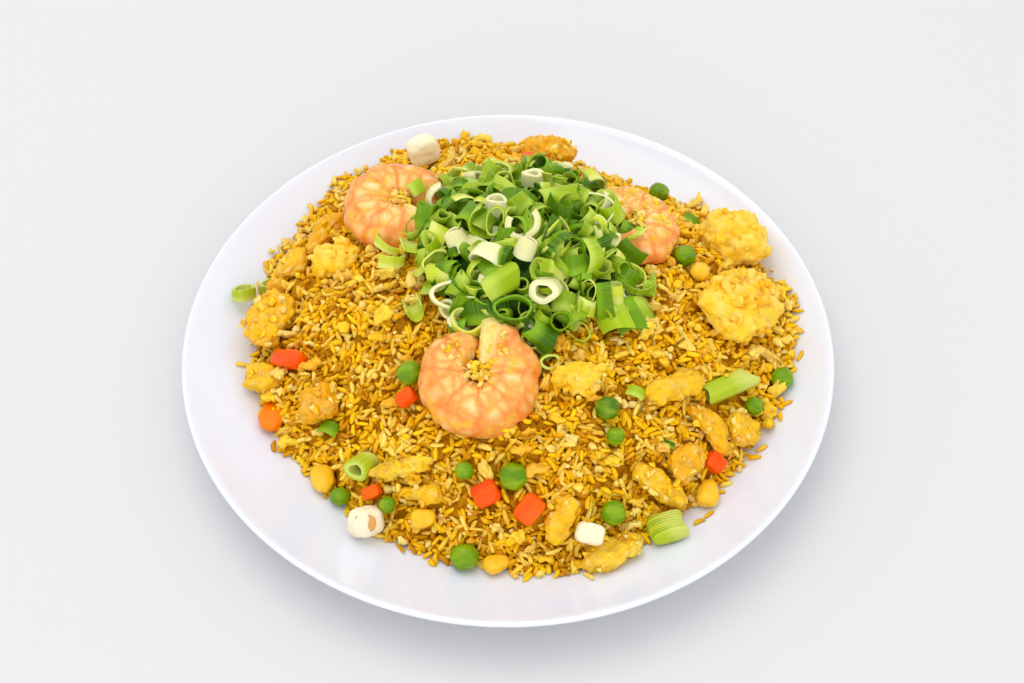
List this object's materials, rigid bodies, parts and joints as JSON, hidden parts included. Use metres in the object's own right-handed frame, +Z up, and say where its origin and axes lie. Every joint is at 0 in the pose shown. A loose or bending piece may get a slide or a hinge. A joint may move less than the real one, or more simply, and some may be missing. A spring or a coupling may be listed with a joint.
{
  "type": "fried rice plate",
  "caption": "Round coupe plate heaped with fried rice, with curled shrimp, peas, diced carrot, corn, chicken, egg and a pile of chopped scallions",
  "frame": {"origin": "middle of the plate's footprint, on the surface that the plate stands on", "axes": "+Z up; -Y towards the side with the large front shrimp; +X to the right of someone standing there"},
  "size_m": [0.26, 0.26, 0.0742],
  "materials": {
    "porcelain": "glossy white glaze",
    "rice": "cooked rice, oily sheen",
    "scallion": "moist cut leaf",
    "pale_scallion": "moist white stem",
    "shrimp": "cooked, moist",
    "pea": "cooked, glossy skin",
    "carrot": "cooked, moist",
    "corn": "cooked, glossy skin",
    "chicken": "fried, oily sheen",
    "egg": "scrambled, soft"
  },
  "bodies": {
    "root": {"plate": "porcelain", "rice_heap": "rice", "scallion_pile": "scallion", "shrimp_front": "shrimp", "shrimp_left": "shrimp", "shrimp_right": "shrimp", "carrot_01": "carrot", "carrot_02": "carrot", "carrot_03": "carrot", "carrot_04": "carrot", "carrot_05": "carrot", "carrot_06": "carrot", "carrot_07": "carrot", "carrot_08": "carrot", "chicken_01": "chicken", "chicken_02": "chicken", "chicken_03": "chicken", "chicken_04": "chicken", "chicken_05": "chicken", "chicken_06": "chicken", "chicken_07": "chicken", "chicken_08": "chicken", "chicken_09": "chicken", "chicken_10": "chicken", "chicken_11": "chicken", "chicken_12": "chicken", "chicken_13": "chicken", "chicken_14": "chicken", "chicken_15": "chicken", "corn_01": "corn", "corn_02": "corn", "corn_03": "corn", "corn_04": "corn", "corn_05": "corn", "egg_01": "egg", "egg_02": "egg", "egg_03": "egg", "egg_04": "egg", "pea_01": "pea", "pea_02": "pea", "pea_03": "pea", "pea_04": "pea", "pea_05": "pea", "pea_06": "pea", "pea_07": "pea", "pea_08": "pea", "pea_09": "pea", "pea_10": "pea", "pea_11": "pea", "pea_12": "pea", "pea_13": "pea", "scallion_01": "scallion", "scallion_02": "scallion", "scallion_03": "pale_scallion", "scallion_04": "scallion", "scallion_05": "pale_scallion", "scallion_06": "scallion", "scallion_07": "pale_scallion", "scallion_08": "scallion", "scallion_09": "scallion"}
  },
  "joints": []
}
